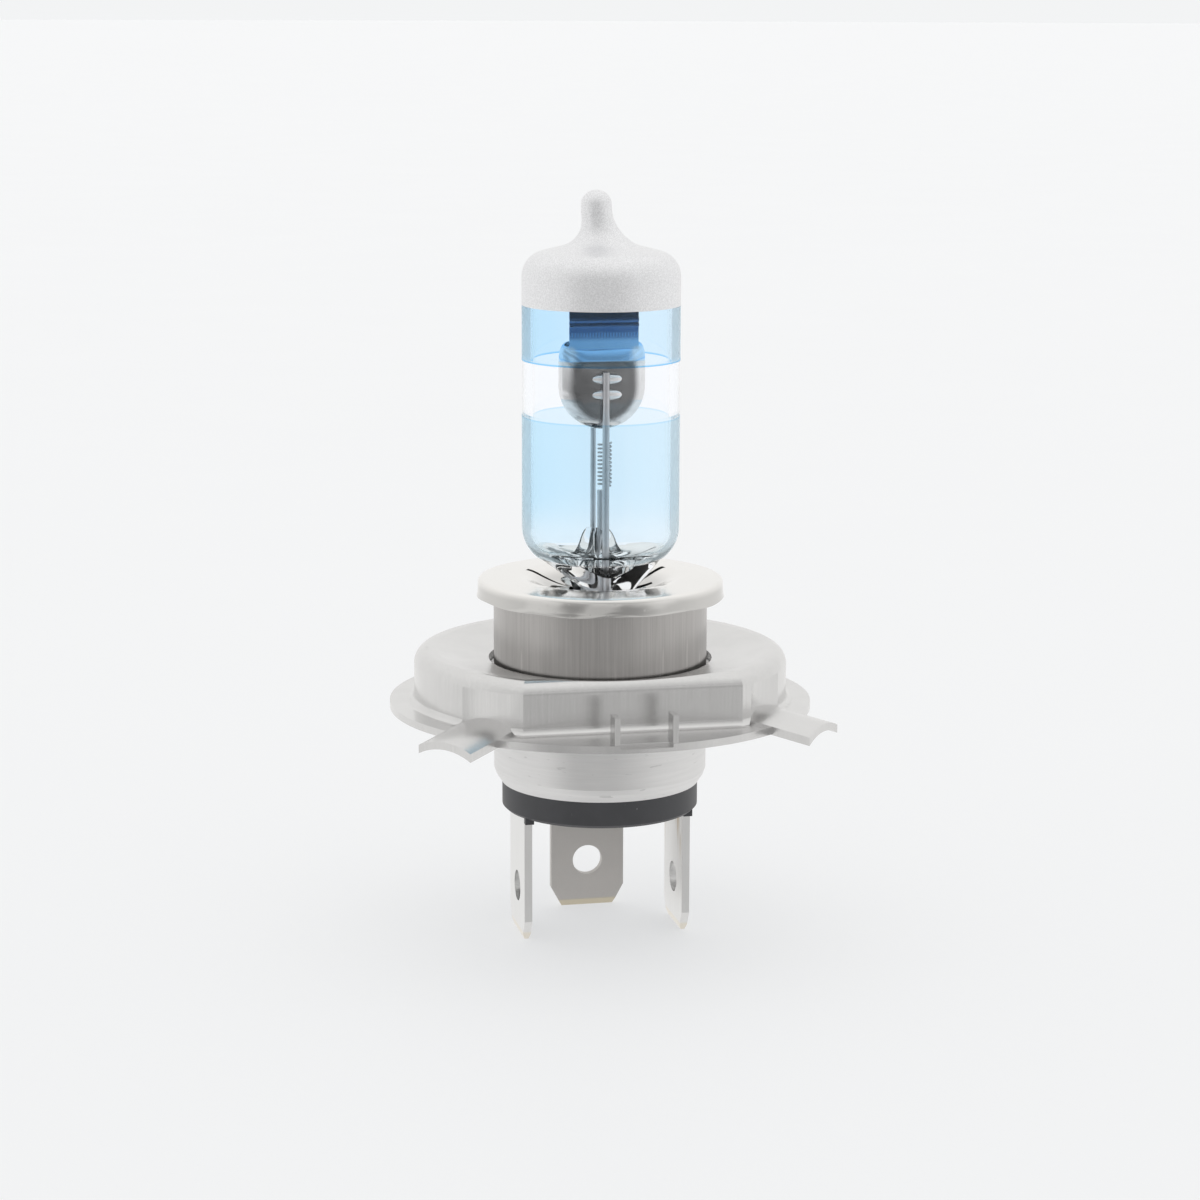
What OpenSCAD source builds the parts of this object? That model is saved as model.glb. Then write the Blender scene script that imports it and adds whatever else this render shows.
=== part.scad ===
// Twin-filament halogen headlight bulb with a three-lug prefocus ring.
// Millimetres. The origin is the centre of the ring's seating face, +Z runs to the glass tip
// and -Y is the side with the flat of the collar and the convex face of the shield.

/* [Ring] */
// Outer diameter of the flat rim
rim_d = 43; // [42.6:0.1:43.4]
// Diameter of the raised collar
collar_d = 38; // [37.8:0.05:38.2]
// Height of the collar above the seat
collar_h = 5.3; // [5.1:0.05:5.5]
// Thickness of the ring's sheet
ring_sheet = 0.75; // [0.7:0.01:0.8]
// Distance from the axis to the flat front of the collar
front_flat = 15.5; // [15.2:0.05:15.8]
// Reach of the lugs from the axis
lug_reach = 25.3; // [24.8:0.1:25.6]
// Width of each narrow lug
narrow_lug_w = 6.4; // [6:0.1:6.8]
// Width of the wide lug
wide_lug_w = 12.5; // [11:0.1:14]
// Angle between the front and each narrow lug
narrow_lug_angle = 48.5; // [46:0.5:50]

/* [Holder] */
// Diameter of the upper sleeve and of the base shell
sleeve_d = 21.74; // [21.6:0.02:21.9]
// Wall of the sleeve, the shell and the retainer cap
can_sheet = 0.5; // [0.45:0.01:0.52]
// Diameter of the polished retainer cap
cap_d = 25.2; // [25:0.1:25.6]
// Height of the top of the retainer cap
cap_top = 12.6; // [12.4:0.05:12.8]

/* [Glass] */
// Outside diameter of the coated glass tube
glass_d = 15.96; // [15.8:0.02:16]
// Wall of the glass tube
glass_wall = 1.1; // [1:0.05:1.2]
// Height where the shoulder of the glass starts
shoulder_z = 43; // [42.8:0.1:43.2]
// Thickness of the flat pinch seal
pinch_t = 3.4; // [3.2:0.05:3.6]
// Width of the flat pinch seal
pinch_w = 12; // [11.8:0.1:12.2]

/* [Coatings] */
// Lower edge of the silver cap paint
silver_z = 40.2; // [39.8:0.1:40.6]
// Lower edge of the upper blue band
upper_band_z = 34.7; // [34.2:0.1:35.2]
// Upper edge of the lower blue coating
lower_band_z = 29.1; // [28.6:0.1:29.6]

/* [Filaments] */
// Outside diameter of a filament coil
coil_d = 1.5; // [1.4:0.05:1.6]
// Diameter of the filament wire
coil_wire_d = 0.2; // [0.18:0.01:0.22]
// Turns in a filament coil
coil_turns = 14; // [12:1:15]
// Height of the first turn of the high-beam filament
high_beam_z = 21.8; // [21.7:0.05:21.9]
// Height of the first turn of the low-beam filament
low_beam_z = 29.6; // [29.4:0.1:29.8]

/* [Terminals] */
// Width of a terminal blade
blade_w = 7.8; // [7.6:0.1:7.9]
// Thickness of a terminal blade
blade_t = 0.8; // [0.78:0.01:0.82]
// Height of the blade tips
blade_tip_z = -24.55; // [-25:0.05:-24]
// Distance from the axis to each side blade
side_blade_x = 8.25; // [8.2:0.01:8.3]
// Distance from the axis to the rear blade
rear_blade_y = 8.3; // [8.25:0.01:8.35]
// Diameter of the hole in a blade
blade_hole_d = 3.15; // [3:0.05:3.3]

/* [Hidden] */
$fn = 64;

far = 60;
chrome_colour = [0.86, 0.85, 0.82];
nickel_colour = [0.70, 0.67, 0.63];
satin_colour = [0.78, 0.77, 0.75];
steel_colour = [0.62, 0.62, 0.62];
tungsten_colour = [0.45, 0.45, 0.47];

// Ring
rim_r = rim_d / 2;
collar_r = collar_d / 2;
collar_round = 1.5;
collar_foot = 0.7;
ring_hole_r = 11.4;
dish_r = 16.9;
dish_depth = 1.1;
recess_r = 10.9;
recess_depth = 0.7;
recess_top = 4;
recess_half_angle = 9.5;
recess_play = 0.3;
lug_root = 18.2;
lug_crown = 0.7;
lug_tilt = 8.5;
lug_relief = 1.2;
ear_t = 0.55;
ear_h = 2.7;
ear_gap = 5.2;
ear_front = 21.2;
ear_back = 19.2;
rebate_depth = 0.35;
rebate_back = 20.5;

// Holder
sleeve_r = sleeve_d / 2;
cap_r = cap_d / 2;
cap_round = 1.8;
skirt_z = 10.6;
fit_gap = 0.03;
petal_r = 8.2;
petal_drop = 1.6;
petal_inner_r = 3.6;
petal_gap = 0.1;
slit_w = 0.35;
slit_angles = [25, 145, 219, 309.5];
neck_z = 3.2;
neck_step = 0.6;
neck_bottom = -3;
flange_r = 15;
flange_gap = 0.1;
crimp_z = -7.2;
crimp_end_z = -8.6;
crimp_knee = [0.2, 0.55];
boot_top_z = -1;
boot_taper = 0.12;
weld_r = 0.8;
weld_pitch_r = 13.2;
weld_angles = [30, 150, 210, 330];

// Insulator
insulator_r = 10.04;
insulator_bottom = -11.35;
insulator_top = -5.6;
insulator_neck_r = 9.6;
insulator_edge = 0.3;
boss_w = 0.9;
boss_l = 0.75;
boss_h = 0.6;
boss_root = 0.5;

// Glass
coat_t = 0.05;
glass_r = glass_d / 2;
shoulder_round = 2.6;
tip_fillet = 3.36;
tip_fillet_c = [4.93, 49.25];
tip_ball_r = 1.57;
tip_ball_z = 50.05;
lower_round_z = 17.7;
lower_round = 3.8;
pinch_start_z = 14.6;
throat_step = 0.1;
throat_overlap = 0.3;
pinch_z = 11.5;
pinch_bottom = 1.5;
coating_bottom = 14.75;
hollow_floor = 15.2;
hollow_top_round = 2.2;
hollow_low_round = 2.6;
hollow_flat = 0.4;
hollow_drop = [[0.7, 3.4], [0.5, 5]];

// Inner wires
wire_r = 0.35;
thin_wire_r = 0.28;
wire_pocket = 0.01;
common_y = -2.4;
rear_wire = [-0.3, 2.3];
common_top = 33.7;
high_beam_wire_top = 21.45;
low_beam_wire_top = 35.2;
wire_bottom = 8.2;
foil_t = 0.06;
foil_w = 2.5;
foil_z = [4.6, 9.6];
foil_x = 0.38;
foil_pitch = 3.4;
lead_r = 0.3;
lead_sides = 8;
lead_steps = 10;
lead_lift = [0, 0, 2.5];
lead_drop = [0, 0, -2];

// Shield
shield_w = 8.8;
shield_bottom = 27.8;
shield_top = 36.8;
shield_rim_y = -0.3;
shield_floor_y = -1.75;
shield_sheet = 0.22;
shield_floor_w = 4.5;
shield_floor_z = [29.3, 34.2];
shield_corner = 0.9;
tab_w = 7;
tab_top = 41.2;
rib_l = 2.7;
rib_r = 0.32;
rib_z = [31.4, 32.8];
ridge_z = [38.3, 38.8];
ridge_r = 0.14;
shield_lip = [0.5, 0.7];

// Coils
coil_r = (coil_d - coil_wire_d) / 2;
coil_pitch = 0.325;
coil_steps = 12;
coil_sides = 5;
high_beam_axis = [0.4, 0];
low_beam_axis = [0.1, 0.75];
leg_rise = 0.1;
weld_sink = 0.05;

// Terminals
blade_hole_z = -19.6;
blade_corner = [1.15, 2.1];
blade_bevel = [0.2, 0.6];
shoulder_bottom = -10.2;
tongue_w = 5.2;
blade_top = -3.4;
slot_gap = 0.04;
rear_blade_x = 0.4;
solder_r = 0.95;
solder_z = -4.5;
solder_reach = 1.1;
lead_reach = 0.9;
left_lead_y = -0.6;
right_lead_y = 0.2;

// Collar: a filled outline from the axis to its reach, with a round top edge and a flared foot.
module edge_outline(reach, top, round_r, foot) {
    square([reach - round_r, top]);
    square([reach, top - round_r]);
    intersection() {
        translate([reach - round_r, top - round_r]) circle(round_r);
        square([reach, top]);
    }
    if (foot > 0) difference() {
        square([reach + foot, foot]);
        translate([reach + foot, foot]) circle(foot);
    }
}

// The same outline as a long straight bar whose edge faces the front.
module edge_bar(reach, top, round_r, foot) {
    rotate([0, 0, -90]) rotate([90, 0, 0]) linear_extrude(far, center = true) {
        edge_outline(reach, top, round_r, foot);
        translate([-far / 2, 0]) square([far / 2 + 1, top]);
    }
}

// The shallow dish pressed into the top of the collar.
module dish(top) {
    rotate_extrude() polygon([[0, top - dish_depth], [ring_hole_r, top - dish_depth], [dish_r, top],
                              [dish_r, top + 1], [0, top + 1]]);
}

module lug_recesses(radius, top) {
    reach = collar_r * cos(recess_half_angle) - recess_depth + recess_r + recess_play;
    for (side = [-1, 1]) rotate([0, 0, side * narrow_lug_angle])
        translate([0, -reach, -1]) cylinder(r = radius, h = top + 1);
}

module collar_block(inset) {
    difference() {
        intersection() {
            rotate_extrude()
                edge_outline(collar_r - inset, collar_h, collar_round - inset, collar_foot + inset);
            edge_bar(front_flat - inset, collar_h, collar_round - inset, collar_foot + inset);
        }
        dish(collar_h);
        translate([0, 0, inset]) lug_recesses(recess_r + inset, recess_top + inset);
    }
}

module lug_clip(width, root) {
    translate([-width / 2, -lug_reach, -3]) cube([width, lug_reach - root, 6]);
}

module lug_roll(width, shrink) {
    roll_r = (width * width / 4 + lug_crown * lug_crown) / (2 * lug_crown);
    translate([0, -lug_reach, -roll_r]) rotate([lug_tilt - 90, 0, 0])
        translate([0, 0, -1]) cylinder(r = roll_r - shrink, h = 12);
}

module lug(width, angle) {
    rotate([0, 0, angle]) intersection() {
        lug_clip(width, lug_root);
        difference() {
            lug_roll(width, 0);
            lug_roll(width, ring_sheet);
        }
    }
}

module lug_underside(width, angle) {
    rotate([0, 0, angle]) intersection() {
        lug_clip(width, lug_root + lug_relief);
        lug_roll(width, ring_sheet);
    }
}

module ear(side) {
    translate([side > 0 ? ear_gap / 2 : -ear_gap / 2 - ear_t, -ear_front, -0.1])
        cube([ear_t, ear_front - ear_back, ear_h + 0.1]);
}

module focus_ring() {
    color(satin_colour) difference() {
        union() {
            difference() {
                translate([0, 0, -ring_sheet]) cylinder(r = rim_r, h = ring_sheet);
                for (side = [-1, 1]) lug_underside(narrow_lug_w, side * narrow_lug_angle);
                lug_underside(wide_lug_w, 180);
                translate([-ear_gap / 2, -far / 2, -rebate_depth])
                    cube([ear_gap, far / 2 - rebate_back, 1]);
            }
            collar_block(0);
            for (side = [-1, 1]) lug(narrow_lug_w, side * narrow_lug_angle);
            lug(wide_lug_w, 180);
            for (side = [-1, 1]) ear(side);
        }
        translate([0, 0, -ring_sheet]) collar_block(ring_sheet);
        translate([0, 0, -1]) cylinder(r = ring_hole_r, h = collar_h + 2);
    }
}

// Underside of the dished collar at a distance from the axis.
function under_collar(r) = collar_h - ring_sheet - dish_depth * (dish_r - r) / (dish_r - ring_hole_r);

module ring_welds() {
    color(steel_colour) intersection() {
        rotate_extrude() polygon([[sleeve_r, under_collar(sleeve_r) - flange_gap],
                                  [flange_r, under_collar(flange_r) - flange_gap],
                                  [flange_r, under_collar(flange_r)], [sleeve_r, under_collar(sleeve_r)]]);
        for (a = weld_angles) rotate([0, 0, a]) translate([weld_pitch_r, 0, 0])
            cylinder(r = weld_r, h = collar_h);
    }
}

// The base shell: a straight land for the lamp's boot, then a slight taper up to the flange.
module base_shell() {
    flange_in = under_collar(sleeve_r) - flange_gap;
    flange_out = under_collar(flange_r) - flange_gap;
    bore_r = sleeve_r - can_sheet;
    color(satin_colour) rotate_extrude() polygon([
        [bore_r, crimp_z],
        [insulator_neck_r + fit_gap, crimp_end_z],
        [insulator_r + 2 * slot_gap, crimp_end_z],
        [sleeve_r - crimp_knee.x, crimp_z - crimp_knee.y],
        [sleeve_r, crimp_z],
        [sleeve_r, boot_top_z],
        [sleeve_r - boot_taper, flange_in - can_sheet],
        [flange_r, flange_out - can_sheet],
        [flange_r, flange_out],
        [bore_r, under_collar(bore_r) - flange_gap]]);
}

module upper_sleeve() {
    neck_r = sleeve_r - can_sheet - fit_gap;
    under_cap = cap_top - can_sheet;
    color(nickel_colour) rotate_extrude() {
        translate([sleeve_r - can_sheet, neck_z]) square([can_sheet, under_cap - neck_z - fit_gap]);
        polygon([[neck_r - can_sheet, neck_z - 1], [neck_r, neck_z - 1], [sleeve_r, neck_z + neck_step],
                 [sleeve_r - can_sheet, neck_z + neck_step]]);
        translate([neck_r - can_sheet, neck_bottom]) square([can_sheet, neck_z - 1 - neck_bottom]);
    }
}

// The cap as a filled block, with the funnel of the petals in its top. The inset makes its inside.
module cap_block(inset, bottom) {
    top = cap_top - inset;
    rotate_extrude() difference() {
        translate([0, bottom]) edge_outline(cap_r - inset, top - bottom, cap_round - inset, 0);
        polygon([[0, top - petal_drop], [petal_inner_r, top - petal_drop], [petal_r, top],
                 [petal_r, top + 1], [0, top + 1]]);
    }
}

module retainer_cap() {
    color(chrome_colour) difference() {
        cap_block(0, skirt_z);
        cap_block(can_sheet, skirt_z - 1);
        translate([0, 0, skirt_z - 2]) cylinder(r = petal_inner_r, h = 4);
        for (a = slit_angles) rotate([0, 0, a]) translate([0, -slit_w / 2, skirt_z - 2])
            cube([petal_r, slit_w, 6]);
        pinch_clearance();
    }
}

module pinch_clearance() {
    thick = pinch_t + 2 * petal_gap;
    wide = pinch_w + 2 * petal_gap;
    translate([-thick / 2, -wide / 2, 0]) cube([thick, wide, cap_top + 1]);
    translate([0, 0, -petal_gap / 2]) pinch_throat();
}

// Glass: the outline of the tube, shoulder and tip, set in by a given amount.
module tip_outline(inset) {
    c1 = [glass_r - shoulder_round, shoulder_z];
    span = norm(tip_fillet_c - c1);
    lean = atan2(tip_fillet_c.y - c1.y, tip_fillet_c.x - c1.x) - acos((shoulder_round + tip_fillet) / span);
    away = [cos(lean), sin(lean)];
    p1 = c1 + (shoulder_round - inset) * away;
    p2 = tip_fillet_c - (tip_fillet + inset) * away;
    translate([0, lower_round_z]) square([glass_r - inset, shoulder_z - lower_round_z]);
    intersection() {
        translate(c1) circle(shoulder_round - inset);
        translate([0, shoulder_z - 1]) square([far, far]);
    }
    polygon([[0, shoulder_z], [c1.x, shoulder_z], p1, p2, [0, p2.y]]);
    difference() {
        translate([0, p2.y]) square([p2.x, tip_fillet_c.y - p2.y]);
        translate(tip_fillet_c) circle(tip_fillet + inset);
    }
}

module glass_top(inset) {
    r = tip_ball_r - inset;
    rotate_extrude() {
        tip_outline(inset);
        translate([0, tip_fillet_c.y - 0.1]) square([r, tip_ball_z - tip_fillet_c.y + 0.1]);
        intersection() {
            translate([0, tip_ball_z]) circle(r);
            square([far, far]);
        }
    }
}

module glass_bottom(inset) {
    rotate_extrude() intersection() {
        union() {
            translate([glass_r - lower_round, lower_round_z]) circle(lower_round - inset);
            translate([0, pinch_start_z])
                square([glass_r - lower_round, lower_round_z - pinch_start_z + 1]);
        }
        translate([0, pinch_start_z]) square([far, lower_round_z - pinch_start_z]);
    }
}

function lower_reach(z, inset) =
    glass_r - lower_round + sqrt(pow(lower_round - inset, 2) - pow(lower_round_z - z, 2));

// The funnel where the round tube is squeezed to the flat seal.
module pinch_throat() {
    hull() {
        translate([0, 0, pinch_start_z])
            cylinder(r = lower_reach(pinch_start_z, coat_t) - throat_step, h = throat_overlap, $fn = 32);
        translate([-pinch_t / 2, -pinch_w / 2, pinch_z]) cube([pinch_t, pinch_w, 0.01]);
    }
}

module glass_hollow() {
    r = glass_r - coat_t - glass_wall;
    top_round = hollow_top_round - hollow_flat;
    rotate_extrude() {
        translate([0, lower_round_z]) square([r, shoulder_z - lower_round_z]);
        intersection() {
            translate([r - hollow_top_round, shoulder_z]) circle(top_round);
            square([far, far]);
        }
        polygon([
            [0, shoulder_z],
            [r - hollow_top_round, shoulder_z],
            [r - hollow_top_round, shoulder_z + top_round],
            for (drop = hollow_drop) [drop.x, shoulder_z + drop.y],
            [0, shoulder_z + hollow_drop[1].y]]);
        intersection() {
            translate([r - hollow_low_round, hollow_floor + hollow_low_round]) circle(hollow_low_round);
            translate([0, hollow_floor]) square([far, lower_round_z - hollow_floor]);
        }
        translate([0, hollow_floor]) square([r - hollow_low_round, lower_round_z - hollow_floor]);
    }
}

module glass_bulb() {
    color([0.85, 0.93, 1, 0.35]) difference() {
        union() {
            glass_top(coat_t);
            glass_bottom(coat_t);
            pinch_throat();
            translate([-pinch_t / 2, -pinch_w / 2, pinch_bottom])
                cube([pinch_t, pinch_w, pinch_z - pinch_bottom]);
        }
        glass_hollow();
        for (i = [-1, 0, 1]) {
            translate([foil_x, i * foil_pitch - foil_w / 2, foil_z[0]])
                cube([foil_t, foil_w, foil_z[1] - foil_z[0]]);
            translate([foil_x - lead_r - wire_pocket, i * foil_pitch, pinch_bottom - 1])
                cylinder(r = lead_r, h = foil_z[0] + 2.5 - pinch_bottom);
        }
        translate([0, common_y, wire_bottom]) cylinder(r = wire_r, h = 10);
        translate([0, 0, wire_bottom]) cylinder(r = wire_r, h = 10);
        translate([rear_wire.x, rear_wire.y, wire_bottom]) cylinder(r = thin_wire_r, h = 10);
    }
}

module silver_cap_coating() {
    color([0.80, 0.80, 0.81]) intersection() {
        difference() {
            glass_top(0);
            glass_top(coat_t);
        }
        translate([0, 0, silver_z]) cylinder(r = far, h = far);
    }
}

module band(z0, z1) {
    translate([0, 0, z0]) difference() {
        cylinder(r = glass_r, h = z1 - z0);
        translate([0, 0, -1]) cylinder(r = glass_r - coat_t, h = z1 - z0 + 2);
    }
}

module upper_blue_coating() {
    color([0.45, 0.72, 0.95, 0.6]) band(upper_band_z, silver_z);
}

module lower_blue_coating() {
    color([0.60, 0.82, 0.97, 0.6]) {
        band(lower_round_z, lower_band_z);
        intersection() {
            difference() {
                glass_bottom(0);
                glass_bottom(coat_t);
            }
            translate([0, 0, coating_bottom]) cylinder(r = far, h = lower_round_z - coating_bottom);
        }
    }
}

// Shield: the outline seen from the front, at a given inset.
module shield_plate(w, z0, z1, inset, y, thick) {
    r = w / 2 - inset;
    translate([0, y, 0]) rotate([90, 0, 0]) linear_extrude(thick) {
        translate([0, z0 + w / 2]) circle(r, $fn = 32);
        for (side = [-1, 1]) translate([side * (w / 2 - shield_corner), z1 - shield_corner])
            circle(shield_corner - inset, $fn = 24);
        translate([-r, z0 + w / 2]) square([2 * r, z1 - shield_corner - z0 - w / 2]);
    }
}

module shield_tub(inset) {
    hull() {
        shield_plate(shield_w, shield_bottom, shield_top, inset, shield_rim_y, 0.01);
        shield_plate(shield_w - shield_lip.x, shield_bottom + shield_lip.x / 2,
                     shield_top - shield_lip.x / 2, inset, shield_rim_y - shield_lip.y, 0.01);
        shield_plate(shield_floor_w, shield_floor_z[0], shield_floor_z[1], inset,
                     shield_floor_y + inset + 0.01, 0.01);
    }
}

module low_beam_shield() {
    color(chrome_colour) {
        difference() {
            shield_tub(0);
            translate([0, 0.02, 0]) shield_tub(shield_sheet);
        }
        translate([-tab_w / 2, shield_rim_y - shield_sheet, shield_top - 0.2])
            cube([tab_w, shield_sheet, tab_top - shield_top + 0.2]);
        for (z = ridge_z) translate([-tab_w / 2, shield_rim_y - shield_sheet, z]) rotate([0, 90, 0])
            cylinder(r = ridge_r, h = tab_w);
        for (z = rib_z) translate([-rib_l / 2 + rib_r, shield_floor_y + 0.02, z]) {
            rotate([0, 90, 0]) cylinder(r = rib_r, h = rib_l - 2 * rib_r);
            sphere(r = rib_r);
            translate([rib_l - 2 * rib_r, 0, 0]) sphere(r = rib_r);
        }
    }
}

// Filaments: the path of a coil with a straight leg at each end, and a tube swept along it.
function helix_point(axis, z0, i) =
    let (a = 360 * i / coil_steps)
    [axis.x + coil_r * cos(a), axis.y + coil_r * sin(a), z0 + coil_pitch * i / coil_steps];

function coil_path(axis, z0, foot, head) =
    let (last = coil_turns * coil_steps, high = helix_point(axis, z0, last))
    concat([[foot.x, foot.y, z0 - leg_rise]],
           [for (i = [1:last - 1]) helix_point(axis, z0, i)],
           [[head.x, head.y, high.z + leg_rise]]);

function unit(v) = v / norm(v);

function tangent(path, i) = unit(path[min(i + 1, len(path) - 1)] - path[max(i - 1, 0)]);

function ring_points(path, i, r, sides, across) =
    let (t = tangent(path, i), side = unit(cross(t, across)), up = cross(side, t))
    [for (k = [0:sides - 1]) path[i] + r * (cos(360 * k / sides) * side + sin(360 * k / sides) * up)];

// The direction across must never be in line with the path.
module swept_wire(path, r, sides, across) {
    rings = len(path);
    points = [for (i = [0:rings - 1]) each ring_points(path, i, r, sides, across)];
    walls = [for (i = [0:rings - 2], k = [0:sides - 1])
        let (a = i * sides + k, b = i * sides + (k + 1) % sides)
        each [[a, b, b + sides], [a, b + sides, a + sides]]];
    foot = [for (k = [sides - 1:-1:0]) k];
    head = [for (k = [0:sides - 1]) (rings - 1) * sides + k];
    polyhedron(points, concat(walls, [foot, head]));
}

module high_beam_filament() {
    foot = [-leg_rise, 0];
    head = [0, common_y + wire_r + weld_sink];
    path = coil_path(high_beam_axis, high_beam_z, foot, head);
    color(tungsten_colour) swept_wire(path, coil_wire_d / 2, coil_sides, [0, 0, 1]);
}

module low_beam_filament() {
    foot = [0.5, shield_floor_y + shield_sheet + 2 * weld_sink];
    head = [rear_wire.x, rear_wire.y - thin_wire_r - weld_sink];
    path = coil_path(low_beam_axis, low_beam_z, foot, head);
    color(tungsten_colour) swept_wire(path, coil_wire_d / 2, coil_sides, [0, 0, 1]);
}

module common_support_wire() {
    color(steel_colour) translate([0, common_y, wire_bottom])
        cylinder(r = wire_r, h = common_top - wire_bottom);
}

module high_beam_support_wire() {
    color(steel_colour) translate([0, 0, wire_bottom])
        cylinder(r = wire_r, h = high_beam_wire_top - wire_bottom);
}

module low_beam_support_wire() {
    color(steel_colour) translate([rear_wire.x, rear_wire.y, wire_bottom])
        cylinder(r = thin_wire_r, h = low_beam_wire_top - wire_bottom);
}

module foil(place) {
    color(tungsten_colour) translate([foil_x, place * foil_pitch - foil_w / 2, foil_z[0]])
        cube([foil_t, foil_w, foil_z[1] - foil_z[0]]);
}

module common_foil() { foil(-1); }
module high_beam_foil() { foil(0); }
module low_beam_foil() { foil(1); }

// Outer leads: straight out of the seal, then one smooth bend to the blade.
function bend(a, b, c, d, t) =
    pow(1 - t, 3) * a + 3 * t * pow(1 - t, 2) * b + 3 * t * t * (1 - t) * c + t * t * t * d;

module outer_lead(place, foot, across) {
    top = [foil_x - lead_r - wire_pocket, place * foil_pitch, foil_z[0] + 1];
    out = [top.x, top.y, pinch_bottom];
    curve = [for (i = [0:lead_steps]) bend(out, out + lead_drop, foot + lead_lift, foot, i / lead_steps)];
    path = concat([top], curve);
    color(steel_colour) swept_wire(path, lead_r, lead_sides, across);
}

// Where a lead or its joint meets each blade, at a distance from the blade's middle.
function left_place(reach) = [reach - side_blade_x, left_lead_y, solder_z];
function right_place(reach) = [side_blade_x - reach, right_lead_y, solder_z];
function rear_place(reach) = [rear_blade_x, rear_blade_y - reach, solder_z];

module common_outer_lead() { outer_lead(-1, left_place(lead_reach), [0, 1, 0]); }
module high_beam_outer_lead() { outer_lead(0, right_place(lead_reach), [0, 1, 0]); }
module low_beam_outer_lead() { outer_lead(1, rear_place(lead_reach), [1, 0, 0]); }

module blade_outline(w) {
    right = [
        [w / 2 - blade_corner.x, blade_tip_z],
        [w / 2, blade_tip_z + blade_corner.y],
        [w / 2, shoulder_bottom],
        [tongue_w / 2, shoulder_bottom],
        [tongue_w / 2, blade_top]];
    polygon(concat(right, [for (i = [len(right) - 1:-1:0]) [-right[i].x, right[i].y]]));
}

// A blade in the XZ plane, centred on Y, with a coined tip and a round hole.
module blade() {
    tip_t = blade_t / 2 - blade_bevel.x;
    difference() {
        intersection() {
            rotate([90, 0, 0]) linear_extrude(blade_t, center = true) blade_outline(blade_w);
            rotate([90, 0, 90]) linear_extrude(far, center = true)
                polygon([
                    [-tip_t, blade_tip_z],
                    [tip_t, blade_tip_z],
                    [blade_t / 2, blade_tip_z + blade_bevel.y],
                    [blade_t / 2, 0],
                    [-blade_t / 2, 0],
                    [-blade_t / 2, blade_tip_z + blade_bevel.y]]);
        }
        translate([0, blade_t, blade_hole_z]) rotate([90, 0, 0])
            cylinder(d = blade_hole_d, h = 2 * blade_t);
    }
}

module side_terminal(side) {
    color(satin_colour) translate([side * side_blade_x, 0, 0]) rotate([0, 0, 90]) blade();
}

module left_terminal() { side_terminal(-1); }
module right_terminal() { side_terminal(1); }
module rear_terminal() { color(satin_colour) translate([rear_blade_x, rear_blade_y, 0]) blade(); }

module blade_slot() {
    wide = blade_w + 2 * slot_gap;
    tongue = tongue_w + 2 * slot_gap;
    thick = blade_t + 2 * slot_gap;
    mouth = shoulder_bottom - insulator_bottom + slot_gap;
    translate([-wide / 2, -thick / 2, insulator_bottom - 1]) cube([wide, thick, mouth + 1]);
    translate([-tongue / 2, -thick / 2, insulator_bottom])
        cube([tongue, thick, insulator_top - insulator_bottom + 1]);
}

module insulator() {
    inside_r = sleeve_r - can_sheet - fit_gap;
    boss_y = -blade_w / 2 - slot_gap - boss_l;
    color([0.13, 0.13, 0.14]) difference() {
        union() {
            rotate_extrude() polygon([
                [0, insulator_bottom],
                [insulator_r - insulator_edge, insulator_bottom],
                [insulator_r, insulator_bottom + insulator_edge],
                [insulator_r, crimp_end_z - fit_gap],
                [insulator_neck_r - fit_gap, crimp_end_z - fit_gap],
                [inside_r - fit_gap, crimp_z],
                [inside_r - fit_gap, insulator_top],
                [0, insulator_top]]);
            for (side = [-1, 1])
                translate([side * side_blade_x - boss_w / 2, boss_y, insulator_bottom - boss_h])
                    cube([boss_w, boss_l, boss_h + boss_root]);
        }
        for (side = [-1, 1]) translate([side * side_blade_x, 0, 0]) rotate([0, 0, 90]) blade_slot();
        translate([rear_blade_x, rear_blade_y, 0]) blade_slot();
    }
}

module solder_joints() {
    color([0.72, 0.72, 0.74]) difference() {
        union() {
            translate(left_place(solder_reach)) sphere(r = solder_r);
            translate(right_place(solder_reach)) sphere(r = solder_r);
            translate(rear_place(solder_reach)) sphere(r = solder_r);
        }
        left_terminal();
        right_terminal();
        rear_terminal();
        common_outer_lead();
        high_beam_outer_lead();
        low_beam_outer_lead();
    }
}

glass_bulb();
silver_cap_coating();
upper_blue_coating();
lower_blue_coating();
low_beam_shield();
low_beam_filament();
high_beam_filament();
common_support_wire();
high_beam_support_wire();
low_beam_support_wire();
common_foil();
high_beam_foil();
low_beam_foil();
common_outer_lead();
high_beam_outer_lead();
low_beam_outer_lead();
retainer_cap();
upper_sleeve();
focus_ring();
ring_welds();
base_shell();
insulator();
left_terminal();
right_terminal();
rear_terminal();
solder_joints();
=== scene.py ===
"""Looks of a twin-filament headlight bulb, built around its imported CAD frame."""

import math

import bmesh
import bpy
from mathutils import Matrix, Vector


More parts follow.
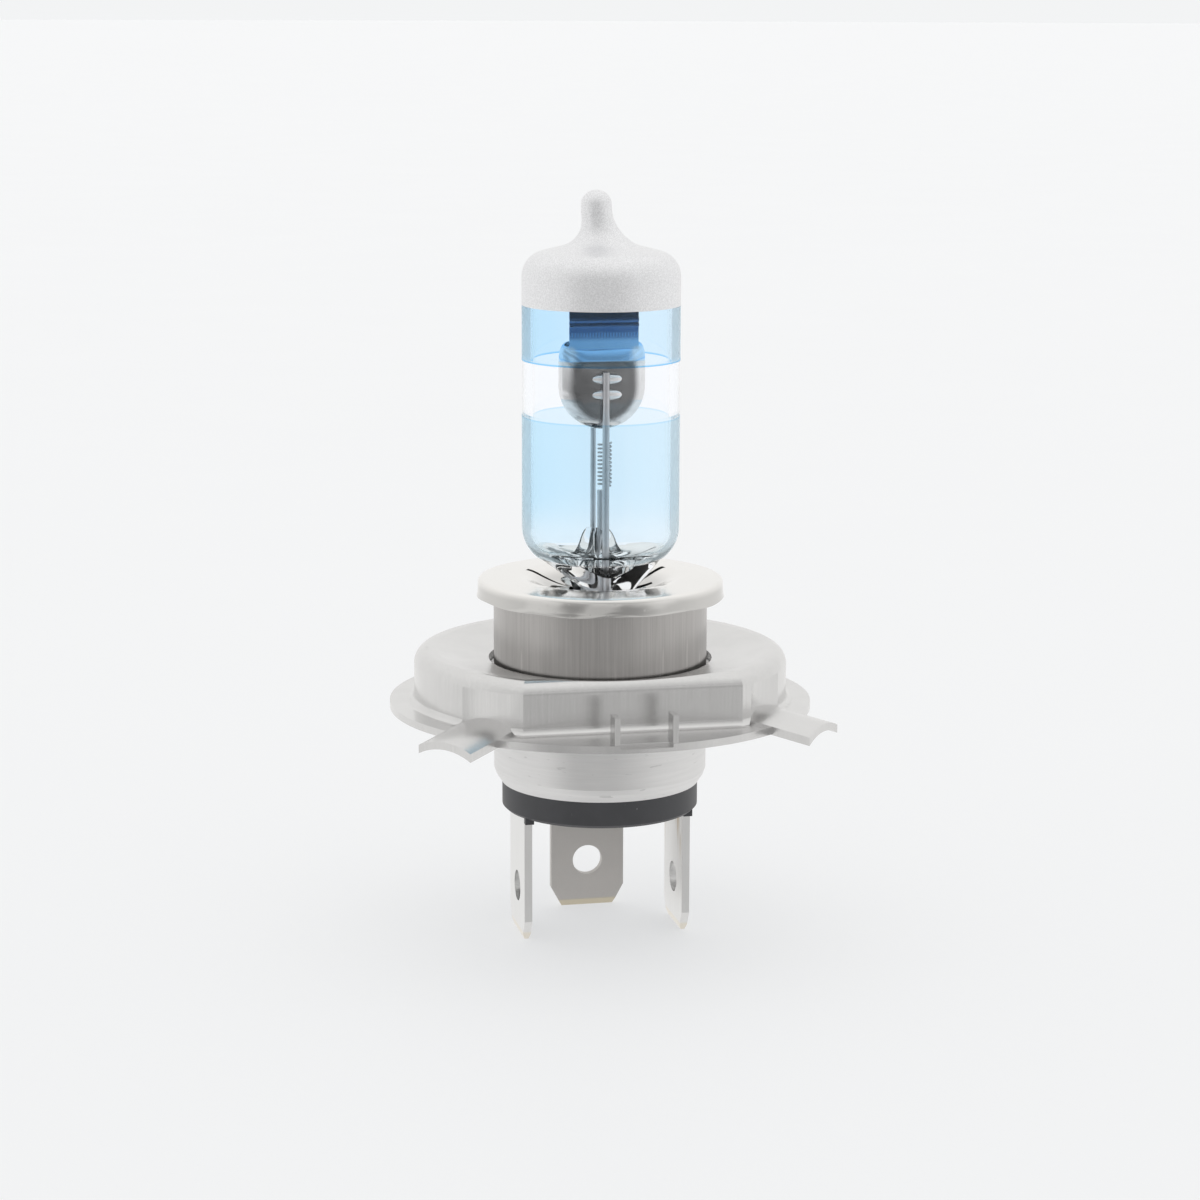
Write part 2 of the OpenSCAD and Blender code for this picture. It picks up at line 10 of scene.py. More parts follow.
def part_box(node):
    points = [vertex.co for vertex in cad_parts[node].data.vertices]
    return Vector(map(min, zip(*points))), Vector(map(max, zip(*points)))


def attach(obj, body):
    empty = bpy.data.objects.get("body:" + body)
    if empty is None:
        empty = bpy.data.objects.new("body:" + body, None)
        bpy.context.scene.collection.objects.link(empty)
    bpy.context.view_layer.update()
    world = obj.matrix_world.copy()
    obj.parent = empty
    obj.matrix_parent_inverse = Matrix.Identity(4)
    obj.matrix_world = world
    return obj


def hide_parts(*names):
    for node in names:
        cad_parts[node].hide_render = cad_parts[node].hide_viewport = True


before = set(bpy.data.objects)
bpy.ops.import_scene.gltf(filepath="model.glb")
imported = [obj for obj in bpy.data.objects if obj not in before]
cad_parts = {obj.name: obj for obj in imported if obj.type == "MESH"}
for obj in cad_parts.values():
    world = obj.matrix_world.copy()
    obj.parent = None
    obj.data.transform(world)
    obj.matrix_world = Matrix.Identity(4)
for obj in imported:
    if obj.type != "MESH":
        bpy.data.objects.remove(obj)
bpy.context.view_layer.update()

bl_info = {
    "name": "Headlight Bulb Builder",
    "version": (1, 0, 0),
    "blender": (4, 5, 0),
    "location": "3D View > Sidebar > Bulb",
    "description": "Models and finishes the pieces of a twin-filament headlight bulb",
    "category": "Object",
}

MM = 0.001
FULL_TURN = 2 * math.pi
BODY = "root"

# Levels and radii that the frame gives, in metres.
FILM_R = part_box("upper_blue_coating")[1].x
SILVER_Z, TIP_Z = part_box("silver_cap_coating")[0].z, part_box("silver_cap_coating")[1].z
UPPER_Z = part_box("upper_blue_coating")[0].z
LOWER_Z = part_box("lower_blue_coating")[1].z
PINCH_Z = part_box("glass_bulb")[0].z
HOLLOW_FLOOR_Z = PINCH_Z + 11.4 * MM
CAP_BOTTOM_Z, CAP_TOP_Z = (corner.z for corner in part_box("retainer_cap"))
CAP_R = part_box("retainer_cap")[1].x
SHIELD_LO, SHIELD_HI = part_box("low_beam_shield")
TUB_TOP = SHIELD_HI.z - 4.4 * MM
RIB_LIFT = 0.26 * MM
FLOOR_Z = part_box("left_terminal")[0].z

# Shape of the glass, in metres: half sizes and top of the flat seal, the round between neck and
# tube, the shoulder below the tip, the hollow curve between them and where the tip starts to lean.
SEAL_X, SEAL_Y, SEAL_TOP_Z = 1.7 * MM, 6.0 * MM, 11.2 * MM
NECK_ROUND, NECK_Z = 3.8 * MM, 17.7 * MM
SHOULDER_DROP = 7.05 * MM
TIP_CURVE_X, TIP_CURVE_RISE = 4.93 * MM, 6.25 * MM
LEAN_DEPTH = 5.4 * MM

# Half sizes of the opening of the retainer cap round the seal, in metres.
SEAL_HOLE_X, SEAL_HOLE_Y = 2.2 * MM, 6.12 * MM


# ---------------------------------------------------------------- sizes and colours


class BulbSizes(bpy.types.PropertyGroup):
    """Sizes of the pieces that are modelled here."""

    coat: bpy.props.FloatProperty(
        name="Coat", description="Thickness of the paint and of the blue films",
        default=0.04 * MM, unit="LENGTH", subtype="DISTANCE",
    )
    coat_gap: bpy.props.FloatProperty(
        name="Coat gap", description="Gap that keeps a coat clear of the glass",
        default=0.02 * MM, unit="LENGTH", subtype="DISTANCE",
    )
    glass_wall: bpy.props.FloatProperty(
        name="Glass wall", description="Wall of the glass tube",
        default=1.1 * MM, unit="LENGTH", subtype="DISTANCE",
    )
    shoulder_round: bpy.props.FloatProperty(
        name="Shoulder radius", description="Radius of the shoulder of the glass",
        default=2.6 * MM, unit="LENGTH", subtype="DISTANCE",
    )
    tip_fillet: bpy.props.FloatProperty(
        name="Tip fillet", description="Radius of the hollow curve from the shoulder to the tip",
        default=3.36 * MM, unit="LENGTH", subtype="DISTANCE",
    )
    tip_ball: bpy.props.FloatProperty(
        name="Tip radius", description="Radius of the melted tip",
        default=1.57 * MM, unit="LENGTH", subtype="DISTANCE",
    )
    tip_lean: bpy.props.FloatProperty(
        name="Tip lean", description="How far the melted tip leans to the left",
        default=0.55 * MM, unit="LENGTH", subtype="DISTANCE",
    )
    fold_height: bpy.props.FloatProperty(
        name="Fold height", description="Height of the glass folds round the wires",
        default=4.4 * MM, unit="LENGTH", subtype="DISTANCE",
    )
    folds: bpy.props.IntProperty(
        name="Folds", description="Number of glass folds round the wires", default=6, min=3, max=16,
    )
    cap_sheet: bpy.props.FloatProperty(
        name="Cap sheet", description="Thickness of the retainer cap",
        default=0.45 * MM, unit="LENGTH", subtype="DISTANCE",
    )
    petal_r: bpy.props.FloatProperty(
        name="Petal radius", description="Radius where the petals start to bend down",
        default=8.2 * MM, unit="LENGTH", subtype="DISTANCE",
    )
    petal_drop: bpy.props.FloatProperty(
        name="Petal drop", description="How far the petals bend down to the seal",
        default=1.55 * MM, unit="LENGTH", subtype="DISTANCE",
    )
    shield_sheet: bpy.props.FloatProperty(
        name="Shield sheet", description="Thickness of the shield",
        default=0.24 * MM, unit="LENGTH", subtype="DISTANCE",
    )
    coil_r: bpy.props.FloatProperty(
        name="Coil radius", description="Outside radius of a filament coil",
        default=0.75 * MM, unit="LENGTH", subtype="DISTANCE",
    )
    coil_wire_r: bpy.props.FloatProperty(
        name="Coil wire radius", description="Radius of the filament wire",
        default=0.085 * MM, unit="LENGTH", subtype="DISTANCE",
    )
    coil_turns: bpy.props.IntProperty(
        name="Coil turns", description="Turns in a filament coil", default=11, min=6, max=20,
    )
    round_steps: bpy.props.IntProperty(
        name="Steps", description="Steps round the glass and the cap", default=120, min=24, max=360,
    )


def colour(name, default, description):
    """A colour property."""
    return bpy.props.FloatVectorProperty(
        name=name, description=description, default=default, subtype="COLOR", size=3, min=0, max=1
    )


class BulbColours(bpy.types.PropertyGroup):
    """Linear colours of the finishes."""

    nickel: colour("Nickel", (0.78, 0.77, 0.75), "Polished nickel of the retainer cap")
    brushed: colour("Brushed nickel", (0.45, 0.437, 0.427), "Brushed nickel of the sleeve")
    steel: colour("Steel", (0.68, 0.677, 0.673), "Satin steel of the ring")
    shell: colour("Shell", (0.74, 0.737, 0.735), "Satin metal of the base shell")
    silver: colour("Silver", (0.85, 0.855, 0.87), "Silver paint of the tip")
    upper_film: colour("Upper film", (0.865, 0.952, 1.0), "What the upper film lets through")
    lower_film: colour("Lower film", (0.885, 0.962, 1.0), "What the lower film lets through")
    # Painted on the shield: blue for the film's tint and reflection where the upper film covers it, and
    # a painted dark reflection on its tab.
    under_film: colour("Under film", (0.29, 0.61, 1.0), "Shield where the upper film covers it")
    dark_tab_reflection: colour("Deep film", (0.02, 0.13, 0.38), "Tab of the shield behind the upper film")
    shield: colour("Shield", (0.86, 0.865, 0.88), "Polished metal of the shield")
    wire: colour("Wire", (0.56, 0.56, 0.58), "Support wires")
    tungsten: colour("Tungsten", (0.42, 0.42, 0.43), "Filaments")
    plastic: colour("Plastic", (0.046, 0.047, 0.052), "Black moulding")
    tinned: colour("Tinned blade", (0.78, 0.78, 0.775), "Side blades")
    matte: colour("Matte blade", (0.60, 0.58, 0.56), "Rear blade")
    solder: colour("Solder", (0.62, 0.62, 0.63), "Solder")
    ground: colour("Floor", (0.34, 0.342, 0.346), "Floor")
    glow: colour("Floor glow", (0.565, 0.572, 0.578), "Light that comes up through the floor")
    # Painted light: the floor's glow where it is seen through the glass, brighter than its glow
    # elsewhere.
    glow_behind_glass: colour("Backlight", (0.625, 0.64, 0.665), "The same light, behind glass")


def sizes():
    """The sizes of the pieces that are modelled here."""
    return bpy.context.scene.bulb_sizes


def tint(name):
    """A colour of the finishes, with its alpha."""
    return (*getattr(bpy.context.scene.bulb_colours, name), 1.0)


def scaled(rgba, share):
    """A colour made darker or lighter."""
    return (*(min(1.0, c * share) for c in rgba[:3]), 1.0)


# ---------------------------------------------------------------- shader expressions


class Wire:
    """An output socket that adds its Math nodes when it is used in an expression."""

    def __init__(self, graph, socket):
        self.graph = graph
        self.socket = socket

    def maths(self, operation, *values):
        """A Math node on these values."""
        return self.graph.node("ShaderNodeMath", {"operation": operation}, dict(enumerate(values)))

    def __add__(self, other):
        return self.maths("ADD", self, other)

    __radd__ = __add__

    def __sub__(self, other):
        return self.maths("SUBTRACT", self, other)

    def __rsub__(self, other):
        return self.maths("SUBTRACT", other, self)

    def __mul__(self, other):
        return self.maths("MULTIPLY", self, other)

    __rmul__ = __mul__

    def __gt__(self, other):
        return self.maths("GREATER_THAN", self, other)

    def __lt__(self, other):
        return self.maths("LESS_THAN", self, other)


class Graph:
    """A node tree that is built from an empty one."""

    def __init__(self, tree):
        self.tree = tree
        tree.nodes.clear()

    def node(self, kind, settings=None, inputs=None, output=0):
        """Adds a node: its settings first, then the values or links of its sockets."""
        made = self.tree.nodes.new(kind)
        for name, value in (settings or {}).items():
            setattr(made, name, value)
        for name, value in (inputs or {}).items():
            if isinstance(value, Wire):
                self.tree.links.new(value.socket, made.inputs[name])
            else:
                made.inputs[name].default_value = value
        return Wire(self, made.outputs[output])

    def mix(self, share, first, second):
        """Mixes two colours."""
        inputs = {0: share, 6: first, 7: second}
        return self.node("ShaderNodeMix", {"data_type": "RGBA"}, inputs, 2)

    def place(self, scale, offset):
        """The piece's own coordinates in metres, scaled and moved."""
        where = self.node("ShaderNodeTexCoord", output="Object")
        inputs = {"Vector": where, "Scale": scale, "Location": offset}
        return self.node("ShaderNodeMapping", {}, inputs)

    def axis(self, which):
        """One coordinate of the piece, in metres."""
        where = self.node("ShaderNodeTexCoord", output="Object")
        return self.node("ShaderNodeSeparateXYZ", {}, {0: where}, which)

    def noise(self, scale, detail=3.0, rough=0.5, stretch=(1, 1, 1), offset=(0, 0, 0)):
        """Noise with scale features to the metre, drawn out by stretch."""
        inputs = {
            "Vector": self.place(stretch, offset),
            "Scale": scale,
            "Detail": detail,
            "Roughness": rough,
        }
        return self.node("ShaderNodeTexNoise", {}, inputs)

    def band(self, value, low, high):
        """0 below low, 1 above high, smooth between."""
        inputs = {0: value, 1: low, 2: high, 3: 0.0, 4: 1.0}
        return self.node("ShaderNodeMapRange", {"interpolation_type": "SMOOTHSTEP"}, inputs)

    def between(self, value, rise, fall):
        """1 between two soft edges, each given by its low and its high end."""
        return self.band(value, *rise) * (1 - self.band(value, *fall))

    def bump(self, height, distance, strength):
        """A normal from a height, where distance is the relief in metres."""
        inputs = {"Height": height, "Distance": distance, "Strength": strength}
        return self.node("ShaderNodeBump", {}, inputs)

    def principled(self, **values):
        """A Principled shader; base_color stands for Base Color, and so on."""
        names = {key: key.replace("_", " ").title() for key in values}
        names["ior"] = "IOR"
        return self.node(
            "ShaderNodeBsdfPrincipled", {}, {names[key]: value for key, value in values.items()}
        )

    def output(self, surface, kind="ShaderNodeOutputMaterial"):
        """Ends the tree."""
        made = self.tree.nodes.new(kind)
        self.tree.links.new(surface.socket, made.inputs["Surface"])


def new_material(name):
    """An empty material and its graph."""
    material = bpy.data.materials.new(name)
    material.use_nodes = True
    return material, Graph(material.node_tree)


# ---------------------------------------------------------------- finishes


def quartz_glass():
    """Clear quartz, with faint waves from the glass blowing."""
    material, g = new_material("quartz_glass")
    waves = g.noise(200, 2.0, 0.4, (1, 1, 0.2))
    glass = g.principled(
        base_color=(0.985, 0.992, 1.0, 1), roughness=0.0, ior=1.34, transmission_weight=1.0,
        normal=g.bump(waves, 0.02 * MM, 0.5),
    )
    clear = g.node("ShaderNodeBsdfTransparent", {}, {"Color": (0.97, 0.98, 0.985, 1)})
    lamp_ray = g.node("ShaderNodeLightPath", output="Is Shadow Ray")
    g.output(g.node("ShaderNodeMixShader", {}, {0: lamp_ray, 1: glass, 2: clear}))
    return material


def blue_film(name, shade, thin_share, edge_z, edge_share):
    """A dip-coated blue film: its tint deeper towards the left, thicker at its open edge, with faint
    vertical runs.
    """
    material, g = new_material(name)
    # The tint deepens towards the left, a gradient across X.
    side = g.band(g.axis("X"), -8 * MM, 7 * MM)
    runs = g.noise(900, 3.0, 0.55, (1, 1, 0.03))
    paleness = side * 0.8 + runs * 0.35 - 0.1
    light = (*(1 - (1 - c) * thin_share for c in shade[:3]), 1.0)
    deep = (*(c ** 4 for c in shade[:3]), 1.0)
    height = g.axis("Z") - edge_z
    edge = 1 - g.band(height.maths("ABSOLUTE", height), 0.05 * MM, 0.24 * MM)
    tone = g.mix(edge * edge_share, g.mix(paleness, shade, light), deep)
    fade = 1 - g.band(height, -13 * MM, -8 * MM)
    tone = g.mix(fade * 0.5, tone, (1, 1, 1, 1))
    tinted = g.node("ShaderNodeBsdfTransparent", {}, {"Color": tone})
    skin = g.principled(
        base_color=scaled(shade, 0.95), roughness=0.08 + 0.1 * runs, ior=1.45, metallic=0.0
    )
    rim = g.node("ShaderNodeFresnel", {}, {"IOR": 1.12})
    g.output(g.node("ShaderNodeMixShader", {}, {0: rim * 0.5, 1: tinted, 2: skin}))
    return material


def silver_paint():
    """Fine metallic paint: flakes in colour, gloss and relief."""
    material, g = new_material("silver_paint")
    flakes = g.noise(9000, 2.0, 0.7)
    clouds = g.noise(500, 2.0, 0.5)
    base = tint("silver")
    shade = g.mix(g.band(flakes, 0.38, 0.66), scaled(base, 0.88), scaled(base, 1.09))
    g.output(g.principled(
        base_color=shade, metallic=0.75, roughness=0.38 + 0.08 * clouds,
        normal=g.bump(flakes, 0.010 * MM, 0.5),
    ))
    return material


def shield_metal():
    """Pressed and polished metal, coloured by place where the upper film covers it: painted blue
    for the film's tint and its reflection, a painted dark reflection on the tab, painted highlights
    on the corners and a row of painted reflected ticks; and a painted dark reflection on the floor
    of the tub."""
    material, g = new_material("shield_metal")
    grain = g.noise(7000, 2.0, 0.6)
    clouds = g.noise(700, 3.0, 0.5)
    height = g.axis("Z")
    base = tint("shield")
    shade = g.mix(clouds, scaled(base, 0.86), base)
    # Painted blue where the upper film covers the shield, for the film's tint and for reflection;
    # darker still on the tab above the tub, a painted dark reflection.
    under_film = g.band(height, UPPER_Z - 0.1 * MM, UPPER_Z + 0.1 * MM)
    deep = g.band(height, TUB_TOP - 0.2 * MM, TUB_TOP + 0.6 * MM)
    shade = g.mix(under_film * 0.95, shade, g.mix(deep, tint("under_film"), tint("dark_tab_reflection")))
    # Painted highlight: pale blue on the corners of the tub under the upper film.
    across = g.axis("X")
    aside = across.maths("ABSOLUTE", across)
    slant = aside * 1.1 + (TUB_TOP - height)
    below_rim = 1 - g.band(height, TUB_TOP - 0.9 * MM, TUB_TOP - 0.4 * MM)
    corner = g.band(aside, 2.3 * MM, 3.2 * MM) * below_rim
    corner = corner * g.band(slant, 3.6 * MM, 4.4 * MM) * under_film
    shade = g.mix(corner * 0.8, shade, (0.72, 0.86, 1.0, 1))
    # Painted dark reflection on the floor of the tub. It is left off the ribs and is weaker under the
    # upper film.
    pressed = SHIELD_LO.y + RIB_LIFT
    flat = g.between(
        g.axis("Y"),
        (pressed - 0.05 * MM, pressed + 0.01 * MM), (pressed + 0.10 * MM, pressed + 0.45 * MM),
    )
    shade = g.mix(flat * (1 - under_film * 0.7) * 0.94, shade, scaled(base, 0.13))
    # Painted reflection: a row of blue ticks on the tab, just above the rim of the tub.
    tick_pitch = 0.3 * MM
    reflected_ticks = across.maths("SINE", across * (FULL_TURN / tick_pitch)) > 0.3
    row = g.between(
        height, (TUB_TOP + 0.35 * MM, TUB_TOP + 0.4 * MM), (TUB_TOP + 0.75 * MM, TUB_TOP + 0.8 * MM)
    )
    shade = g.mix(row * reflected_ticks * 0.5, shade, tint("under_film"))
    g.output(g.principled(
        base_color=shade, metallic=1.0, roughness=0.07 + 0.08 * clouds,
        normal=g.bump(grain, 0.002 * MM, 0.4),
    ))
    return material


def drawn_wire(name, shade, rough=0.22):
    """Drawn wire with lines along it."""
    material, g = new_material(name)
    lines = g.noise(6000, 2.0, 0.6, (1, 1, 0.02))
    stain = g.noise(600, 3.0, 0.5, (1, 1, 0.6))
    g.output(g.principled(
        base_color=g.mix(stain, scaled(shade, 0.72), scaled(shade, 1.15)), metallic=1.0,
        roughness=rough + 0.16 * lines, normal=g.bump(lines, 0.01 * MM, 0.5),
    ))
    return material


def rolled_foil():
    """Thin rolled foil."""
    material, g = new_material("molybdenum_foil")
    lines = g.noise(5000, 2.0, 0.6, (1, 0.05, 1))
    g.output(g.principled(
        base_color=g.mix(lines, (0.34, 0.34, 0.36, 1), (0.48, 0.48, 0.50, 1)), metallic=1.0,
        roughness=0.3 + 0.2 * lines,
    ))
    return material


def polished_nickel():
    """Mirror nickel with a slow ripple from the press and tiny pits, painted lighter on the top and
    darker below it.
    """
    material, g = new_material("polished_nickel")
    ripple = g.noise(190, 2.0, 0.45)
    pits = g.noise(2600, 4.0, 0.6)
    base = tint("nickel")
    # Painted light and shade: lighter on the top, darker down the rounded edge, the skirt and the bent
    # petals. The top is also rougher.
    haze = g.band(g.axis("Z"), CAP_TOP_Z - 1.0 * MM, CAP_TOP_Z - 0.1 * MM)
    relief = ripple * 0.9 + g.band(pits, 0.62, 0.75) * 0.06
    shade = g.mix(haze * 0.9 + ripple * 0.1, scaled(base, 0.74), scaled(base, 1.1))
    g.output(g.principled(
        base_color=shade, metallic=1.0, roughness=0.035 + 0.10 * haze + 0.03 * pits,
        normal=g.bump(relief, 0.22 * MM, 0.35),
    ))
    return material


def brushed_nickel():
    """Nickel brushed from top to bottom, with a few stray scratches."""
    material, g = new_material("brushed_nickel")
    fine = g.noise(8000, 3.0, 0.6, (1, 1, 0.012))
    broad = g.noise(900, 3.0, 0.6, (1, 1, 0.05))
    scratch = g.noise(1500, 1.0, 0.3, (0.9, 0.9, 0.06), (0.003, 0.001, 0.002))
    base = tint("brushed")
    mark = g.band(scratch, 0.70, 0.74)
    shade = g.mix(g.band(fine * 0.6 + broad * 0.4, 0.25, 0.75), scaled(base, 0.86), scaled(base, 1.13))
    g.output(g.principled(
        base_color=g.mix(mark * 0.5, shade, scaled(base, 1.4)), metallic=1.0,
        roughness=0.24 + 0.12 * broad + 0.06 * fine,
        normal=g.bump(fine * 0.7 + broad * 0.5 + mark * 0.4, 0.012 * MM, 0.6),
    ))
    return material


def satin_steel():
    """Pressed steel: satin all over, with grain that runs down the walls."""
    material, g = new_material("satin_steel")
    grain = g.noise(9000, 3.0, 0.6, (1, 1, 0.3))
    lines = g.noise(6000, 3.0, 0.6, (1, 1, 0.015))
    clouds = g.noise(260, 3.0, 0.55)
    base = tint("steel")
    shade = g.mix(grain * 0.3 + lines * 0.7, scaled(base, 0.88), scaled(base, 1.11))
    shade = g.mix(g.band(clouds, 0.35, 0.75) * 0.25, shade, scaled(base, 0.86))
    g.output(g.principled(
        base_color=shade, metallic=1.0, roughness=0.17 + 0.08 * clouds + 0.05 * grain,
        normal=g.bump(grain * 0.6 + lines * 0.5, 0.010 * MM, 0.55),
    ))
    return material


def satin_shell():
    """The spun can: faint rings round it and short dashes from handling."""
    material, g = new_material("satin_shell")
    rings = g.noise(2600, 3.0, 0.6, (0.05, 0.05, 1))
    dashes = g.noise(1700, 2.0, 0.4, (0.35, 0.35, 1.6), (0.0, 0.004, 0.0))
    grain = g.noise(7000, 2.0, 0.6)
    base = tint("shell")
    dash = g.band(dashes, 0.68, 0.74)
    shade = g.mix(rings, scaled(base, 0.90), scaled(base, 1.08))
    g.output(g.principled(
        base_color=g.mix(dash * 0.45, shade, scaled(base, 0.6)), metallic=0.85,
        roughness=0.32 + 0.10 * rings, normal=g.bump(rings * 0.8 + grain * 0.3, 0.012 * MM, 0.5),
    ))
    return material


def black_plastic():
    """Charcoal moulding, semi-matte, with pale chips and fine pits."""
    material, g = new_material("black_plastic")
    grain = g.noise(4200, 4.0, 0.6)
    chips = g.noise(1500, 3.0, 0.7, (1, 1, 1), (0.0, 0.0, 0.003))
    clouds = g.noise(300, 3.0, 0.5)
    base = tint("plastic")
    chip = g.band(chips, 0.70, 0.75)
    shade = g.mix(clouds, scaled(base, 0.75), scaled(base, 1.35))
    g.output(g.principled(
        base_color=g.mix(chip, shade, (0.22, 0.22, 0.225, 1)), metallic=0.0,
        roughness=0.42 + 0.16 * clouds, normal=g.bump(grain * 0.5 + chip, 0.02 * MM, 0.5),
    ))
    return material


def tinned_blade():
    """Bright tinned blade: rolling lines, a pale coined tip and a heat stain near the top."""
    material, g = new_material("tinned_blade")
    lines = g.noise(3800, 3.0, 0.6, (1, 1, 0.03))
    clouds = g.noise(420, 3.0, 0.55, (1, 1, 0.5))
    base = tint("tinned")
    height = g.axis("Z")
    heat = g.band(height, -18 * MM, -12.5 * MM) * g.band(g.axis("X"), 0.0, 8 * MM)
    stain = heat * g.band(g.noise(620, 2.0, 0.5, (1, 1, 0.12)), 0.50, 0.62)
    tip = 1 - g.band(height, FLOOR_Z + 0.6 * MM, FLOOR_Z + 1.0 * MM)
    shade = g.mix(lines * 0.5 + clouds * 0.5, scaled(base, 0.86), scaled(base, 1.1))
    shade = g.mix(stain * 0.7, shade, (0.42, 0.29, 0.13, 1))
    shade = g.mix(tip * 0.6, shade, (0.80, 0.73, 0.60, 1))
    g.output(g.principled(
        base_color=shade, metallic=1.0, roughness=0.24 + 0.14 * clouds,
        normal=g.bump(lines, 0.010 * MM, 0.5),
    ))
    return material


def matte_blade():
    """Matte blade with a fine grain and a beige coined tip."""
    material, g = new_material("matte_blade")
    grain = g.noise(5200, 3.0, 0.65)
    clouds = g.noise(350, 3.0, 0.55)
    base = tint("matte")
    tip = 1 - g.band(g.axis("Z"), FLOOR_Z + 0.5 * MM, FLOOR_Z + 0.8 * MM)
    shade = g.mix(grain * 0.4 + clouds * 0.6, scaled(base, 0.90), scaled(base, 1.10))
    g.output(g.principled(
        base_color=g.mix(tip * 0.7, shade, (0.72, 0.64, 0.46, 1)), metallic=0.55,
        roughness=0.46 + 0.12 * clouds, normal=g.bump(grain, 0.010 * MM, 0.5),
    ))
    return material


def solder_metal(name, shade):
    """Frozen solder or a weld: soft lumps and a dull skin."""
    material, g = new_material(name)
    lumps = g.noise(1400, 3.0, 0.5)
    g.output(g.principled(
        base_color=g.mix(lumps, scaled(shade, 0.75), scaled(shade, 1.15)), metallic=1.0,
        roughness=0.3 + 0.2 * lumps, normal=g.bump(lumps, 0.06 * MM, 0.5),
    ))
    return material


FINISHES = {}


def finish_for(slot):
    """The material of a slot of the record, made the first time that it is asked for."""
    makers = {
        "quartz_glass": quartz_glass,
        "silver_paint": silver_paint,
        "upper_blue_film": lambda: blue_film("upper_blue_film", tint("upper_film"), 0.5, UPPER_Z, 1.0),
        "lower_blue_film": lambda: blue_film("lower_blue_film", tint("lower_film"), 0.6, LOWER_Z, 0.3),
        "shield_metal": shield_metal,
        "tungsten_wire": lambda: drawn_wire("tungsten_wire", tint("tungsten"), 0.3),
        "support_wire": lambda: drawn_wire("support_wire", tint("wire")),
        "molybdenum_foil": rolled_foil,
        "outer_lead": lambda: drawn_wire("outer_lead", tint("wire"), 0.35),
        "polished_nickel": polished_nickel,
        "brushed_nickel": brushed_nickel,
        "satin_steel": satin_steel,
        "weld_metal": lambda: solder_metal("weld_metal", tint("steel")),
        "satin_shell": satin_shell,
        "black_plastic": black_plastic,
        "tinned_blade": tinned_blade,
        "matte_blade": matte_blade,
        "solder": lambda: solder_metal("solder", tint("solder")),
    }
    if slot not in FINISHES:
        FINISHES[slot] = makers[slot]()
    return FINISHES[slot]


# ---------------------------------------------------------------- mesh work


def arc(centre, radius, start, stop, steps):
    """Points on an arc, from start to stop degrees."""
    turns = (math.radians(start + (stop - start) * i / steps) for i in range(steps + 1))
    return [Vector((centre[0] + radius * math.cos(a), centre[1] + radius * math.sin(a))) for a in turns]


def ease(share):
    """A smooth step from 0 to 1."""
    share = min(1.0, max(0.0, share))
    return share * share * (3 - 2 * share)


def rounded(turn, half_x, half_y, square=2.0):
    """A point on a superellipse: an ellipse at square 2, near a rectangle at 6."""
    c, s = math.cos(FULL_TURN * turn), math.sin(FULL_TURN * turn)
    x = half_x * math.copysign(abs(c) ** (2 / square), c)
    y = half_y * math.copysign(abs(s) ** (2 / square), s)
    return x, y


def skin(bm, rings, sides):
    """Walls a closed body through rings, each a function from a turn, 0 to 1, to a point."""
    turn = bm.verts.layers.float.get("turn") or bm.verts.layers.float.new("turn")
    loop = bmesh.ops.create_circle(bm, cap_ends=False, segments=sides, radius=1)["verts"]
    for i, vert in enumerate(loop):
        vert[turn] = i / sides
        vert.co = rings[0](i / sides)
    edges = list({edge for vert in loop for edge in vert.link_edges})
    bmesh.ops.holes_fill(bm, edges=edges, sides=0)
    made = {face for edge in edges for face in edge.link_faces}
    for ring in rings[1:]:
        new = bmesh.ops.extrude_edge_only(bm, edges=edges)["geom"]
        verts = {g for g in new if isinstance(g, bmesh.types.BMVert)}
        edges = [g for g in new if isinstance(g, bmesh.types.BMEdge) and set(g.verts) <= verts]
        made |= {g for g in new if isinstance(g, bmesh.types.BMFace)}
        for vert in verts:
            vert.co = ring(vert[turn])
    bmesh.ops.holes_fill(bm, edges=edges, sides=0)
    made |= {face for edge in edges for face in edge.link_faces}
    return [face for face in made if face.is_valid]


def spun(bm, profile, steps, closed=True):
    """Turns a profile of (radius, height) points once round the axis."""
    verts = [bm.verts.new((max(p[0], 0.0), 0, p[1])) for p in profile]
    pairs = list(zip(verts, verts[1:]))
    if closed:
        pairs.append((verts[-1], verts[0]))
    edges = [bm.edges.new(pair) for pair in pairs]
    bmesh.ops.spin(
        bm, geom=verts + edges, cent=(0, 0, 0), axis=(0, 0, 1), angle=FULL_TURN, steps=steps,
        use_merge=True,
    )
    bmesh.ops.remove_doubles(bm, verts=bm.verts, dist=0.0005 * MM)


def ring_at(centre, normal, side, radius):
    """A ring round a path point, for skin()."""
    across = normal.cross(side).normalized()
    up = across.cross(normal).normalized()

    def point(turn):
        a = FULL_TURN * turn
        return centre + radius * (math.cos(a) * across + math.sin(a) * up)

    return point


def swept(bm, path, radius, sides):
    """A round wire along a path."""
    rings = []
    for i, point in enumerate(path):
        ahead = path[min(i + 1, len(path) - 1)] - path[max(i - 1, 0)]
        side = Vector((0.02, 0.05, 1)) if abs(ahead.normalized().z) < 0.9 else Vector((0.05, 1, 0.02))
        rings.append(ring_at(point, ahead.normalized(), side, radius))
    skin(bm, rings, sides)


